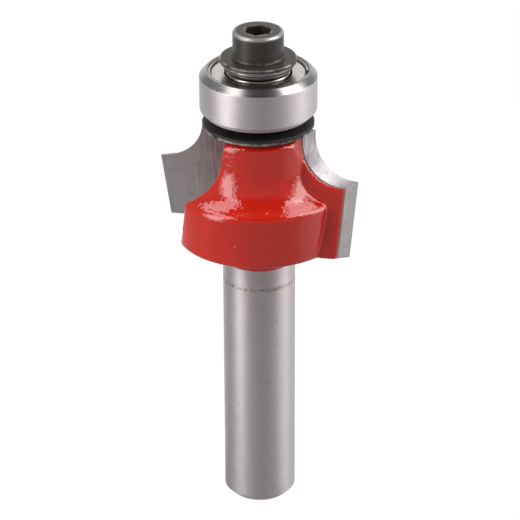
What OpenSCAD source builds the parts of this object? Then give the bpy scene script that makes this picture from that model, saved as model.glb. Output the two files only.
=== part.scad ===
// Rounding-over router bit with a ball-bearing guide.
// The bit stands on its shank end. Z runs up the axis, and the rake faces of both tips run along X.

/* [Shank] */
// Diameter of the shank
shank_d = 8; // [6.5:0.5:9]
// Length from the shank end to the underside of the head
shank_h = 32.6; // [22:1:45]
// Chamfer round the shank end
shank_chamfer = 0.8; // [0.3:0.1:1.5]
// Fillet between the shank and the underside of the head
neck_fillet = 2.4; // [1:0.1:3]

/* [Head] */
// Height of the head, underside to top face
head_h = 13; // [12:0.5:16]
// Diameter of the chip limiter, the large round part of the two wings
limiter_d = 18.2; // [16:0.1:19]
// Height of the limiter's straight side
limiter_h = 5.25; // [4:0.25:6]
// Radius of the cove above the limiter
limiter_cove_r = 4; // [3:0.25:4.5]
// Rounding of the ridge between the cove and the straight side
ridge_r = 0.7; // [0.3:0.1:1]
// Chamfer round the underside
rim_chamfer = 0.2; // [0.1:0.05:0.5]
// Diameter of the head under the guide bearing
neck_d = 11.86; // [11:0.1:12]
// Chamfer round the top face of the head
top_chamfer = 0.75; // [0.3:0.05:1]

/* [Cutting edges] */
// Radius that the bit rounds a corner to
cove_r = 5; // [4:0.25:5.5]
// Straight edge above the cove, up to the top face
cove_lift = 0.2; // [0.1:0.05:0.5]
// How far the tips reach below the underside
tip_drop = 0.3; // [0.1:0.1:1]
// Thickness of a carbide tip
tip_t = 1.2; // [1:0.1:1.6]
// Distance from the axis to the inner end of a tip
tip_in = 3.4; // [3.2:0.1:4.5]
// Shear angle of the rake faces
shear = 14.5; // [8:0.5:18]
// Height above the top face at which the rake faces would cross the axis
rake_lift = 1.7; // [1:0.1:3]
// How far the flanks fall inward for each millimetre behind the edge
flank_fall = 0.9; // [0.7:0.05:1]
// How far the cove's flank falls downward for each millimetre behind the edge
ledge_fall = 0.23; // [0.1:0.01:0.3]
// Steel left behind a tip at its heel
backing_t = 0.25; // [0.2:0.05:0.8]
// How much that steel lies under the tip's flanks
heel_step = 0.02; // [0.01:0.01:0.1]
// Angle between the back of that steel and the rake face
backing_slope = 1; // [0.5:0.5:10]
// How far the neck falls inward for each millimetre behind that steel
neck_fall = 0.2; // [0.1:0.05:0.5]

/* [Gullets] */
// Distance from the axis to the floor of a gullet
gullet_floor = 2.6; // [2.5:0.05:3.1]
// Width of a gullet at its floor
gullet_w = 5.6; // [4.5:0.1:6]
// Angle by which a gullet opens outward
gullet_flare = 25; // [15:1:30]
// Fillet between the floor and the far wall
gullet_fillet = 2; // [1:0.1:2.5]

/* [Guide bearing] */
// Outer diameter of the guide ring
ring_d = 12.7; // [12.5:0.1:13.5]
// Width of the bearing
bearing_w = 4.98; // [4.8:0.02:5.6]
// Bore of the bearing
bore_d = 4.76; // [4.4:0.02:5]
// Diameter of the balls
ball_d = 2.38; // [2.2:0.02:2.4]
// Diameter of the circle on which the ball centres run
pitch_d = 8.73; // [8.6:0.01:8.8]
// Land diameter of the outer ring
outer_land_d = 10.4; // [10.3:0.05:10.5]
// Land diameter of the inner ring
inner_land_d = 7; // [6.8:0.05:7.2]
// Chamfer on the guide ring
ring_chamfer = 0.65; // [0.3:0.05:0.7]
// Rounding of the inner ring's outer corners
inner_round = 0.3; // [0.1:0.05:0.4]
// Chamfer in the bore
bore_chamfer = 0.2; // [0.1:0.05:0.3]
// Thickness of the shields' sheet
shield_t = 0.2; // [0.15:0.01:0.22]
// Depth of the shields' seat below the ring's face
seat_depth = 0.62; // [0.6:0.01:0.7]
// Diameter of the shields' seat
seat_d = 11; // [10.9:0.05:11.1]
// Inner diameter of the shields
shield_hole_d = 7.66; // [7.5:0.02:7.8]
// Width of a shield's rim, which lies on the seat
shield_rim_w = 0.48; // [0.3:0.02:0.6]
// Height by which a shield's flat stands above its rim
shield_rise = 0.12; // [0.05:0.01:0.15]
// Wire diameter of the clips that hold the shields
clip_wire_d = 0.36; // [0.3:0.01:0.38]
// Angle left open in a clip
clip_gap_angle = 16; // [8:1:30]
// Inward lip over the clip
lip_w = 0.06; // [0.04:0.01:0.08]
// Sheet thickness of the cage halves
cage_t = 0.25; // [0.2:0.01:0.28]
// Radial width of the cage
cage_w = 1.16; // [0.9:0.02:1.2]
// Diameter of the cage rivets
rivet_d = 0.44; // [0.3:0.02:0.5]
// Diameter of the rivets' heads
rivet_head_d = 0.74; // [0.6:0.02:0.76]
// Height of the rivets' heads
rivet_head_h = 0.12; // [0.08:0.01:0.15]

/* [Washers] */
// Diameter of the dust washer under the bearing
dust_washer_d = 12.1; // [11:0.1:12.4]
// Thickness of the dust washer
dust_washer_t = 0.6; // [0.4:0.05:0.8]
// Diameter of the spacer under the inner ring
spacer_d = 6.8; // [6.2:0.1:7]
// Thickness of the spacer
spacer_t = 0.85; // [0.6:0.05:1]
// Diameter of the washer under the screw head
washer_d = 8.1; // [7.4:0.1:9]
// Thickness of that washer's flange
washer_t = 0.75; // [0.6:0.05:1]
// Diameter of that washer's hub
washer_hub_d = 6.6; // [6:0.1:7]
// Height of that washer's hub
washer_hub_h = 0.72; // [0.6:0.02:1]
// Rounding and chamfer of the washers' edges
washer_edge = 0.18; // [0.08:0.02:0.25]

/* [Cap screw] */
// Thread diameter
screw_d = 3; // [2.5:0.1:3.2]
// Length under the head
screw_l = 8; // [6:1:9]
// Diameter of the head
screw_head_d = 5.5; // [5:0.1:6]
// Height of the head
screw_head_h = 3; // [2.5:0.1:3.5]
// Width of the hexagon socket across its flats
hex_af = 2.5; // [2:0.1:2.8]
// Depth of the socket
hex_depth = 1.5; // [1:0.1:1.8]
// Chamfer round the head
screw_chamfer = 0.25; // [0.1:0.05:0.4]

/* [Fits] */
// Radial clearance between the bearing and its seat on the bit
seat_gap = 0.01; // [0.005:0.005:0.03]
// Radial clearance between the washers and what they sit on
washer_gap = 0.05; // [0.02:0.01:0.1]
// Radial clearance between the screw and its hole
thread_gap = 0.02; // [0.01:0.01:0.04]
// Clearance between a ball and each ring
ball_gap = 0.01; // [0.005:0.005:0.02]
// Clearance between a ball and the cage
pocket_gap = 0.09; // [0.05:0.01:0.1]
// Clearance round the shields, clips and rivets
trim_gap = 0.02; // [0.01:0.01:0.02]

/* [Hidden] */
$fn = 96;

ball_count = 7;
far = 20;
grind_reach = 5;

shank_r = shank_d / 2;
stub_r = bore_d / 2 - seat_gap;
limiter_r = limiter_d / 2;
neck_r = neck_d / 2;
cut_r = ring_d / 2 + cove_r;

head_z = shank_h + head_h;
spacer_z = head_z + dust_washer_t;
bearing_z = spacer_z + spacer_t;
bearing_mid = bearing_z + bearing_w / 2;
washer_z = bearing_z + bearing_w;
screw_z = washer_z + washer_hub_h + washer_t;
stub_z = washer_z - 0.3;
cove_z = head_z - cove_lift;
rake_z = head_z + rake_lift;
ledge_z = cove_z - cove_r;
tip_low = shank_h - tip_drop;

ball_r = ball_d / 2;
pitch_r = pitch_d / 2;
half_w = bearing_w / 2;
groove_r = 0.52 * ball_d;
pocket_r = ball_r + pocket_gap;

function arc(x, y, r, from, to, steps, first = 0) =
    [for (i = [first:steps]) let (a = from + (to - from) * i / steps) [x + r * cos(a), y + r * sin(a)]];

// Y of the rake plane at height z, and X of a point on it at a distance r from the axis
function rake_y(z) = tan(shear) * (z - rake_z);
function edge_x(r, z) = sqrt(r * r - pow(rake_y(z), 2));

// The outline that the bit cuts: radius and height, from the top down to the straight edge
cut_outline = concat([[cut_r - cove_r, head_z]],
    arc(cut_r, cove_z, cove_r, 180, 270, 24),
    [[cut_r, tip_low - 2]]);

// Distance along Y from a rake face to the back of the steel behind its tip
heel_depth = (tip_t + backing_t) / cos(shear) / (1 - ledge_fall * tan(shear));

module turned(outline) {
    rotate_extrude() polygon(outline);
}

module on_rake() {
    translate([0, 0, rake_z]) rotate([-shear, 0, 0]) children();
}

module both_sides() {
    for (a = [0, 180]) rotate([0, 0, a]) children();
}

module tube(d, hole_d, h) {
    difference() {
        cylinder(d = d, h = h);
        translate([0, 0, -1]) cylinder(d = hole_d, h = h + 2);
    }
}

// Shank, head and bearing seat, as they are turned from one bar
module turned_blank() {
    ridge_x = limiter_r - ridge_r;
    ridge_z = shank_h + limiter_h;
    cove_x = neck_r + limiter_cove_r;
    cove_top = ridge_z + sqrt(pow(limiter_cove_r + ridge_r, 2) - pow(cove_x - ridge_x, 2));
    lean = acos((cove_x - ridge_x) / (limiter_cove_r + ridge_r));
    stub_chamfer = 0.2;
    turned(concat(
        [[0, 0], [shank_r - shank_chamfer, 0], [shank_r, shank_chamfer]],
        arc(shank_r + neck_fillet, shank_h - neck_fillet, neck_fillet, 180, 90, 10),
        [[limiter_r - rim_chamfer, shank_h], [limiter_r, shank_h + rim_chamfer]],
        arc(ridge_x, ridge_z, ridge_r, 0, 180 - lean, 6),
        arc(cove_x, cove_top, limiter_cove_r, 180 + lean, 180, 16, 1),
        [[neck_r, head_z - top_chamfer], [neck_r - top_chamfer, head_z], [stub_r, head_z]],
        [[stub_r, stub_z - stub_chamfer], [stub_r - stub_chamfer, stub_z], [0, stub_z]]));
}

// Everything inside the cutting outline, ground back from a rake face at a slant.
// A slant with another fall can take over from the flanks at the depth turn_at.
module ground_form(fall = flank_fall, ledge = ledge_fall, turn_at = 0, step = 0, rise = 0) {
    lead = 1;
    top_x = edge_x(cut_r - cove_r, head_z) - step;
    slant = [[1, fall, 0, (fall - flank_fall) * turn_at], [0, 1, tan(shear), -tan(shear) * rake_z],
        [0, ledge, 1, (ledge - ledge_fall) * turn_at], [0, 0, 0, 1]];
    multmatrix(slant) translate([0, lead, 0]) rotate([90, 0, 0]) linear_extrude(lead + grind_reach)
        polygon(concat([[top_x, head_z + rise]],
            [for (i = [1:len(cut_outline) - 1]) let (p = cut_outline[i]) [edge_x(p[0], p[1]) - step, p[1] - step]],
            [[0, tip_low - 2], [0, head_z + rise]]));
}

// Steel behind a tip, ground in one pass with it
module backing() {
    back = tip_t + backing_t;
    intersection() {
        ground_form(step = heel_step);
        on_rake() translate([0, 0, -far]) linear_extrude(2 * far)
            polygon([[neck_r - 1, 0], [far, 0], [far, -back],
                [cut_r, -back], [neck_r - 1, -back - (cut_r - neck_r + 1) * tan(backing_slope)]]);
        translate([-far, -far, shank_h]) cube([2 * far, 2 * far, far]);
    }
}

// Steel that stands out past a tip's heel, so that it would rub on the wood
module heel_space() {
    difference() {
        on_rake() translate([tip_in, -grind_reach + 1, -far]) cube([far, grind_reach, 2 * far]);
        ground_form(step = heel_step, rise = 2);
        ground_form(neck_fall, 0, heel_depth, heel_step, 2);
    }
}

// Chip space in front of a tip. The core thickens towards the shank and stays whole.
module gullet() {
    wall = tan(gullet_flare);
    fillet_x = gullet_floor + gullet_fillet;
    fillet_y = gullet_w + wall * gullet_fillet - gullet_fillet / cos(gullet_flare);
    core_z = shank_h - neck_fillet;
    core_r = shank_r + 0.2;
    difference() {
        on_rake() translate([0, 0, -2 * far]) linear_extrude(3 * far)
            polygon(concat([[gullet_floor, 0], [far, 0], [far, gullet_w + wall * (far - gullet_floor)]],
                arc(fillet_x, fillet_y, gullet_fillet, 90 + gullet_flare, 180, 8)));
        cylinder(r = core_r, h = core_z);
        translate([0, 0, core_z]) cylinder(r1 = core_r, r2 = stub_r, h = head_z - core_z);
    }
}

// Open seat that a tip is brazed into
module tip_seat() {
    on_rake() translate([tip_in, -tip_t, -far]) cube([far, tip_t + 1, 2 * far]);
}

module screw_hole() {
    hole_r = screw_d / 2;
    hole_z = screw_z - screw_l - 1;
    translate([0, 0, hole_z]) cylinder(r = hole_r, h = far);
    translate([0, 0, hole_z - hole_r / 2]) cylinder(r1 = 0, r2 = hole_r, h = hole_r / 2);
}

module cutter_body() {
    color("firebrick") difference() {
        union() {
            turned_blank();
            both_sides() backing();
        }
        both_sides() heel_space();
        both_sides() gullet();
        both_sides() tip_seat();
        screw_hole();
    }
}

// One tip: a plate leaning by the shear angle, its edge and flanks ground to the cutting outline
module carbide_tip() {
    plate_low = (tip_low - rake_z) / cos(shear);
    color("silver") intersection() {
        ground_form();
        on_rake() translate([tip_in, -tip_t, plate_low]) cube([far, tip_t, far]);
    }
}

module dust_washer() {
    r = dust_washer_d / 2;
    hole = stub_r + washer_gap;
    color("dimgray") translate([0, 0, head_z]) turned([[hole, 0], [r - washer_edge, 0], [r, washer_edge],
        [r, dust_washer_t - washer_edge], [r - washer_edge, dust_washer_t], [hole, dust_washer_t]]);
}

module lower_spacer() {
    color("gray") translate([0, 0, spacer_z]) tube(spacer_d, 2 * (stub_r + washer_gap), spacer_t);
}

module bearing_inner_ring() {
    bore = bore_d / 2;
    land = inner_land_d / 2;
    floor_r = pitch_r - ball_r - ball_gap;
    color("lightgray") translate([0, 0, bearing_mid]) rotate_extrude() difference() {
        polygon(concat([[bore, bore_chamfer - half_w], [bore + bore_chamfer, -half_w]],
            arc(land - inner_round, inner_round - half_w, inner_round, -90, 0, 4),
            arc(land - inner_round, half_w - inner_round, inner_round, 0, 90, 4),
            [[bore + bore_chamfer, half_w], [bore, half_w - bore_chamfer]]));
        translate([floor_r + groove_r, 0]) circle(groove_r);
    }
}

module bearing_outer_ring() {
    r = ring_d / 2;
    seat = seat_d / 2;
    land = outer_land_d / 2;
    lip_h = 0.1;
    face_w = 0.05;
    chamfer = min(ring_chamfer, r - seat + lip_w - face_w);
    floor_r = pitch_r + ball_r + ball_gap;
    half = [[land, half_w - seat_depth], [seat, half_w - seat_depth], [seat, half_w - lip_h],
        [seat - lip_w, half_w - lip_h], [seat - lip_w, half_w], [r - chamfer, half_w],
        [r, half_w - chamfer]];
    color("silver") translate([0, 0, bearing_mid]) rotate_extrude() difference() {
        polygon(concat(half, [for (i = [len(half) - 1:-1:0]) [half[i][0], -half[i][1]]]));
        translate([floor_r - groove_r, 0]) circle(groove_r);
    }
}

module at_balls(half_step = 0) {
    for (i = [0:ball_count - 1]) rotate([0, 0, (i + half_step) * 360 / ball_count])
        translate([pitch_r, 0, bearing_mid]) children();
}

module bearing_ball(number) {
    color("gainsboro") rotate([0, 0, (number - 1) * 360 / ball_count])
        translate([pitch_r, 0, bearing_mid]) sphere(ball_r);
}

// Pressed ribbon with an arch over each ball, riveted to its twin between the balls
module cage_band(h) {
    translate([0, 0, bearing_mid]) tube(pitch_d + cage_w, pitch_d - cage_w, h);
}

module radial_bars(r) {
    at_balls() rotate([0, 90, 0]) cylinder(r = r, h = 2 * cage_w, center = true, $fn = 48);
}

module cage_half() {
    color("tan") difference() {
        union() {
            cage_band(cage_t);
            intersection() {
                radial_bars(pocket_r + cage_t);
                cage_band(half_w);
            }
        }
        radial_bars(pocket_r);
        at_balls(0.5) cylinder(d = rivet_d + 2 * trim_gap, h = 4 * cage_t, center = true);
    }
}

module flipped_in_bearing() {
    translate([0, 0, 2 * bearing_mid]) mirror([0, 0, 1]) children();
}

module cage_rivets() {
    color("peru") at_balls(0.5) {
        cylinder(d = rivet_d, h = 2 * cage_t + rivet_head_h, center = true);
        for (side = [-1, 1]) translate([0, 0, side * (cage_t + rivet_head_h / 2)])
            cylinder(d = rivet_head_d, h = rivet_head_h, center = true);
    }
}

module shield() {
    rim_r = seat_d / 2 - trim_gap;
    rim_z = half_w - seat_depth;
    flat_z = rim_z + shield_rise;
    bend_r = rim_r - shield_rim_w;
    color("gainsboro") translate([0, 0, bearing_mid]) turned([
        [shield_hole_d / 2, flat_z], [bend_r, flat_z], [bend_r + shield_rise, rim_z], [rim_r, rim_z],
        [rim_r, rim_z + shield_t], [bend_r + shield_rise, rim_z + shield_t], [bend_r, flat_z + shield_t],
        [shield_hole_d / 2, flat_z + shield_t]]);
}

// Open wire ring that springs out under the lip of the guide ring
module shield_clip() {
    wire_r = clip_wire_d / 2;
    wire_z = half_w - seat_depth + shield_t + wire_r + trim_gap / 2;
    color("gray") translate([0, 0, bearing_mid + wire_z]) rotate([0, 0, clip_gap_angle / 2])
        rotate_extrude(angle = 360 - clip_gap_angle) translate([seat_d / 2 - trim_gap - wire_r, 0]) circle(wire_r, $fn = 24);
}

module top_washer() {
    hole = screw_d / 2 + 2 * washer_gap;
    hub = washer_hub_d / 2;
    r = washer_d / 2;
    top = washer_hub_h + washer_t;
    color("darkslategray") translate([0, 0, washer_z]) turned(concat(
        [[hole, 0], [hub, 0], [hub, washer_hub_h], [r - washer_edge, washer_hub_h], [r, washer_hub_h + washer_edge]],
        arc(r - washer_edge, top - washer_edge, washer_edge, 0, 90, 4), [[hole, top]]));
}

module cap_screw() {
    r = screw_head_d / 2;
    shaft_r = screw_d / 2 - thread_gap;
    top = screw_l + screw_head_h;
    color("dimgray") translate([0, 0, screw_z - screw_l]) difference() {
        turned([[0, 0], [shaft_r - screw_chamfer, 0], [shaft_r, screw_chamfer], [shaft_r, screw_l], [r, screw_l],
            [r, top - screw_chamfer], [r - screw_chamfer, top], [0, top]]);
        translate([0, 0, top - hex_depth]) cylinder(d = hex_af / cos(30), h = far, $fn = 6);
        translate([0, 0, top - hex_depth - hex_af / 6]) cylinder(d1 = 0, d2 = hex_af * 0.99, h = hex_af / 6);
    }
}

cutter_body();
carbide_tip();  // carbide_tip_1
rotate([0, 0, 180]) carbide_tip();  // carbide_tip_2
dust_washer();
lower_spacer();
bearing_inner_ring();
bearing_outer_ring();
bearing_ball(1);  // bearing_ball_1
bearing_ball(2);  // bearing_ball_2
bearing_ball(3);  // bearing_ball_3
bearing_ball(4);  // bearing_ball_4
bearing_ball(5);  // bearing_ball_5
bearing_ball(6);  // bearing_ball_6
bearing_ball(7);  // bearing_ball_7
cage_half();  // cage_upper_half
flipped_in_bearing() cage_half();  // cage_lower_half
cage_rivets();
shield();  // shield_upper
flipped_in_bearing() shield();  // shield_lower
shield_clip();  // shield_clip_upper
flipped_in_bearing() shield_clip();  // shield_clip_lower
top_washer();
cap_screw();
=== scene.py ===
# %% [markdown]
# # A rounding-over router bit
#
# The bit stands on its shank end. A ground steel shank carries a red head with two carbide
# tips, and a ball bearing above the head guides the cut along the edge of a board. The packed
# model gives every solid at its real place, and this script dresses it: it builds the surfaces
# that show with finer curves and rounded edges, gives each one its finish, and lights it as on
# a photographer's table.

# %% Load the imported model
import math

import bmesh
import bpy
from mathutils import Matrix, Vector


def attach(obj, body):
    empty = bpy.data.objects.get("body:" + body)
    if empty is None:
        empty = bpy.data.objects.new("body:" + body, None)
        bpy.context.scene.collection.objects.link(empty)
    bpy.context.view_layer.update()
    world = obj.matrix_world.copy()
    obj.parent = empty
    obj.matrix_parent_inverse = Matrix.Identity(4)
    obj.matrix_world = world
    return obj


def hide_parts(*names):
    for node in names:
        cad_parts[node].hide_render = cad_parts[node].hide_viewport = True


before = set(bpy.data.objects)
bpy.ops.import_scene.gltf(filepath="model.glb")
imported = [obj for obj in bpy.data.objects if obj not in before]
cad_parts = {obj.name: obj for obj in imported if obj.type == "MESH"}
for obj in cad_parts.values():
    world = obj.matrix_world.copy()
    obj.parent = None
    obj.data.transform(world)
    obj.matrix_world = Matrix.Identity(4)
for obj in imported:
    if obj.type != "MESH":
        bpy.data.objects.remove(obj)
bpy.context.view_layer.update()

MM = 0.001
FULL_TURN = 2 * math.pi
print("CAD nodes:", len(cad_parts))

# %% [markdown]
# ## Sizes
#
# Every size is in millimetres, and heights are measured up from the shank end. These are the
# driving sizes that the solids were made from, so a dressed piece lies on its solid. A size that
# only one piece uses stands in the cell of that piece, and a few of those are finer than the
# solids show, such as the second step of the top washer.

# %% Sizes of the bit
SHANK_R = 4.0
SHANK_TOP = 32.6
SHANK_CHAMFER = 0.8
NECK_FILLET = 2.4

HEAD_TOP = SHANK_TOP + 13.0
LIMITER_R = 9.1
LIMITER_H = 5.25
LIMITER_COVE_R = 4.0
RIDGE_R = 0.7
NECK_R = 5.93
TOP_CHAMFER = 0.75

RING_R = 6.35
EDGE_COVE_R = 5.0
CUT_R = RING_R + EDGE_COVE_R
EDGE_TOP = HEAD_TOP - 0.2
EDGE_LOW = SHANK_TOP - 0.3
TIP_T = 1.2
TIP_IN = 3.4
SHEAR = math.radians(14.5)
RAKE_Z = HEAD_TOP + 1.7
FLANK_FALL = 0.9
LEDGE_FALL = 0.23
BACKING_T = 0.25
HEEL_STEP = 0.02
BACKING_SLOPE = math.radians(1)
NECK_FALL = 0.2
GRIND_REACH = 5.0

GULLET_FLOOR = 2.6
GULLET_W = 5.6
GULLET_FLARE = math.radians(25)
GULLET_FILLET = 2.0

# Cutters reach this far past the work, and start this far in front of a rake face
FAR = 20.0
LEAD = 1.0

SPIGOT_R = 2.37
SPIGOT_TOP = 51.73
WASHER_BORE_R = 2.42
DUST_WASHER_TOP = HEAD_TOP + 0.6
BEARING_LOW = 47.05
BEARING_MID = 49.54
BEARING_TOP = 52.03
SCREW_SEAT = 53.5
SCREW_TOP = 56.5
print("from the shank end to the screw:", SCREW_TOP, "mm")

# %% [markdown]
# ## Drawing a turned piece
#
# Nearly every piece of a router bit comes off a lathe, so the script has a small lathe of its
# own. A profile is a chain of corners, each with its radius, its height and how much it is
# rounded. A pen walks along the chain: straight stretches are extruded from the last point, and
# each rounding is spun round its own centre. Spinning the finished profile about Z then makes
# the solid. An arc by `spin` stays a true arc, which a bevel with a few segments doesn't.

# %% The pen and the lathe
TURN_STEPS = 192
ARC_STEP = math.radians(5)
FEWEST_STEPS = 3
SAME_POINT = 1e-5


def rounding(before, corner, after, radius):
    """Where a rounding starts, its centre, and the angle it turns through."""
    into = (corner - before).normalized()
    out = (after - corner).normalized()
    turn = math.atan2(into.x * out.y - into.y * out.x, into.dot(out))
    start = corner - into * radius * math.tan(abs(turn) / 2)
    side = Vector((-into.y, into.x)) * math.copysign(1, turn)
    return start, start + side * radius, turn


def draw_profile(bm, corners, closed):
    """Draws (radius, height, rounding) corners in the XZ plane, with a true arc at each rounding."""
    points = [Vector(c[:2]) for c in corners]
    count = len(points)
    first = last = None
    for i, (point, (_, _, radius)) in enumerate(zip(points, corners)):
        inner = closed or 0 < i < count - 1
        start, centre, turn = point, point, 0
        if inner and radius:
            start, centre, turn = rounding(points[i - 1], point, points[(i + 1) % count], radius)
        if last is None:
            last = first = bm.verts.new((start.x, 0, start.y))
        else:
            last = bmesh.ops.extrude_vert_indiv(bm, verts=[last])["verts"][0]
            last.co = (start.x, 0, start.y)
        if turn:
            steps = max(FEWEST_STEPS, round(abs(turn) / ARC_STEP))
            made = bmesh.ops.spin(bm, geom=[last], cent=(centre.x, 0, centre.y), axis=(0, 1, 0),
                                  angle=-turn, steps=steps, use_merge=False)
            last = [g for g in made["geom_last"] if isinstance(g, bmesh.types.BMVert)][0]
    if closed:
        bm.edges.new((last, first))


def turn_on_lathe(bm):
    """Spins everything in bm once round Z and closes it."""
    bmesh.ops.spin(bm, geom=bm.verts[:] + bm.edges[:], cent=(0, 0, 0), axis=(0, 0, 1),
                   angle=FULL_TURN, steps=TURN_STEPS, use_merge=True)
    bmesh.ops.remove_doubles(bm, verts=bm.verts[:], dist=SAME_POINT)
    bmesh.ops.recalc_face_normals(bm, faces=bm.faces[:])


# %% [markdown]
# A finished mesh is scaled from millimetres to metres once, at the end, so that all the numbers
# before that read like a workshop drawing. Edges sharper than a set angle are marked sharp, and
# every face is smooth shaded, which keeps curved walls smooth and corners crisp.

# %% From bmesh to a piece of the scene
SHARP = math.radians(28)


def shade(bm, sharp):
    """Shades every face smooth, and marks the edges sharper than this angle."""
    for face in bm.faces:
        face.smooth = True
    for edge in bm.edges:
        edge.smooth = len(edge.link_faces) == 2 and edge.calc_face_angle(0) < sharp


def piece_from(bm, name, sharp=SHARP, scale=MM):
    """Makes an object of bm, in metres, or at scale 1 where it is still to be cut."""
    bmesh.ops.scale(bm, vec=(scale,) * 3, verts=bm.verts[:])
    shade(bm, sharp)
    mesh = bpy.data.meshes.new(name)
    bm.to_mesh(mesh)
    bm.free()
    obj = bpy.data.objects.new(name, mesh)
    bpy.context.scene.collection.objects.link(obj)
    print(name, len(mesh.polygons), "faces")
    return obj


def turned_piece(name, corners, closed=True, scale=MM):
    """A piece turned from one profile."""
    bm = bmesh.new()
    draw_profile(bm, corners, closed)
    turn_on_lathe(bm)
    return piece_from(bm, name, scale=scale)


def dress(obj, body, material, slot, *nodes):
    """Rides on a body, takes a material, and hides the CAD nodes that it stands for. The slot is not
    used.
    """
    obj.data.materials.clear()
    obj.data.materials.append(material)
    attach(obj, body)
    if nodes:
        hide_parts(*nodes)
    return obj


# %% [markdown]
# Milled pieces start as turned ones and lose material to cutters. A Boolean modifier with the
# manifold solver does that: every shape here is closed, and for closed shapes it is fast and
# always gives a closed result. That result is taken as a new mesh at once, so that no modifier
# stays live and the cutter can be thrown away.

# %% Cutting one piece with another
def take_result(obj):
    """Makes the modified shape of obj its mesh, and drops the modifier."""
    graph = bpy.context.evaluated_depsgraph_get()
    mesh = bpy.data.meshes.new_from_object(obj.evaluated_get(graph))
    obj.modifiers.clear()
    old = obj.data
    obj.data = mesh
    bpy.data.meshes.remove(old)
    return mesh


def combine(obj, tool, operation):
    """Joins, cuts or intersects obj with tool, and removes the tool."""
    modifier = obj.modifiers.new("combine", "BOOLEAN")
    modifier.object = tool
    modifier.operation = operation
    modifier.solver = "MANIFOLD"
    take_result(obj)
    tool_mesh = tool.data
    bpy.data.objects.remove(tool)
    bpy.data.meshes.remove(tool_mesh)
    return obj


def prism(name, outline, low, high, placed=Matrix.Identity(4)):
    """Extrudes an outline in the XY plane from low to high, then places it."""
    bm = bmesh.new()
    face = bm.faces.new([bm.verts.new((x, y, low)) for x, y in outline])
    side = bmesh.ops.extrude_face_region(bm, geom=[face])
    moved = [g for g in side["geom"] if isinstance(g, bmesh.types.BMVert)]
    bmesh.ops.translate(bm, vec=(0, 0, high - low), verts=moved)
    bmesh.ops.transform(bm, matrix=placed, verts=bm.verts[:])
    bmesh.ops.recalc_face_normals(bm, faces=bm.faces[:])
    return piece_from(bm, name, scale=1)


# %% [markdown]
# ## The rake plane
#
# Both tips lean forward by the shear angle, so that the edge slices instead of chopping. The
# tips, their seats and the gullets are all laid out on the plane of the rake face. One matrix
# carries them there, and a half turn about Z gives the second side.

# %% Placing things on the rake plane
ON_RAKE = Matrix.Translation((0, 0, RAKE_Z)) @ Matrix.Rotation(-SHEAR, 4, "X")
SIDES = {"1": Matrix.Identity(4), "2": Matrix.Rotation(math.pi, 4, "Z")}


def rake_y(z):
    """Where the rake plane lies at height z."""
    return math.tan(SHEAR) * (z - RAKE_Z)


def edge_x(radius, z):
    """X of the point on the rake plane that lies at this radius and height."""
    return math.sqrt(radius ** 2 - rake_y(z) ** 2)


def arc_points(cx, cy, radius, start, end, steps):
    """Points along an arc, angles in degrees."""
    angles = [math.radians(start + (end - start) * i / steps) for i in range(steps + 1)]
    return [(cx + radius * math.cos(a), cy + radius * math.sin(a)) for a in angles]


# What the bit cuts: radius and height, from the top down to below the straight edge
EDGE_STEPS = 48
OVERLAP = 2.0
CUT_OUTLINE = ([(CUT_R - EDGE_COVE_R, HEAD_TOP)]
               + arc_points(CUT_R, EDGE_TOP, EDGE_COVE_R, 180, 270, EDGE_STEPS)
               + [(CUT_R, EDGE_LOW - OVERLAP)])


def depth_along_y(thickness):
    """How far the back of a plate lies behind its rake face, along the flanks' slant."""
    return thickness / math.cos(SHEAR) / (1 - LEDGE_FALL * math.tan(SHEAR))


def ground_form(bm, depth, fall=FLANK_FALL, ledge=LEDGE_FALL, shift=Vector(), step=0.0, rise=0.0):
    """The cutting outline on the rake face, extruded back along a slant.

    Step draws the outline inwards, shift moves it, and rise carries its top up.
    """
    inner = 0 if rise else TIP_IN - OVERLAP
    radii = CUT_OUTLINE[1:]
    top = CUT_OUTLINE[0]
    points = [(edge_x(*top) - step, rake_y(top[1] + rise), top[1] + rise)]
    points += [(edge_x(r, z) - step, rake_y(z), z - step) for r, z in radii]
    low = radii[-1][1]
    points += [(inner, rake_y(low), low), (inner, rake_y(top[1] + rise), top[1] + rise)]
    face = bm.faces.new([bm.verts.new(Vector(p) + shift) for p in points])
    back = bmesh.ops.extrude_face_region(bm, geom=[face])
    moved = [g for g in back["geom"] if isinstance(g, bmesh.types.BMVert)]
    bmesh.ops.translate(bm, vec=(-fall * depth, -depth, -ledge * depth), verts=moved)
    bmesh.ops.recalc_face_normals(bm, faces=bm.faces[:])


# %% [markdown]
# ## The carbide tips
#
# A tip is a plate, and its edge and flanks are ground back at a slant so that they clear the
# wood behind the edge. Extruding the outline of the rake face along that slant gives all the
# flanks in one step, because the back of the plate is parallel to its face. Two cuts with
# `bisect_plane` then trim the foot and the inner end, where the plate meets its seat.

# %% Carbide tips
GROUND_EDGE = 0.03
EDGE_SEGMENTS = 2
TIP_SHARP = math.radians(12)


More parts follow.
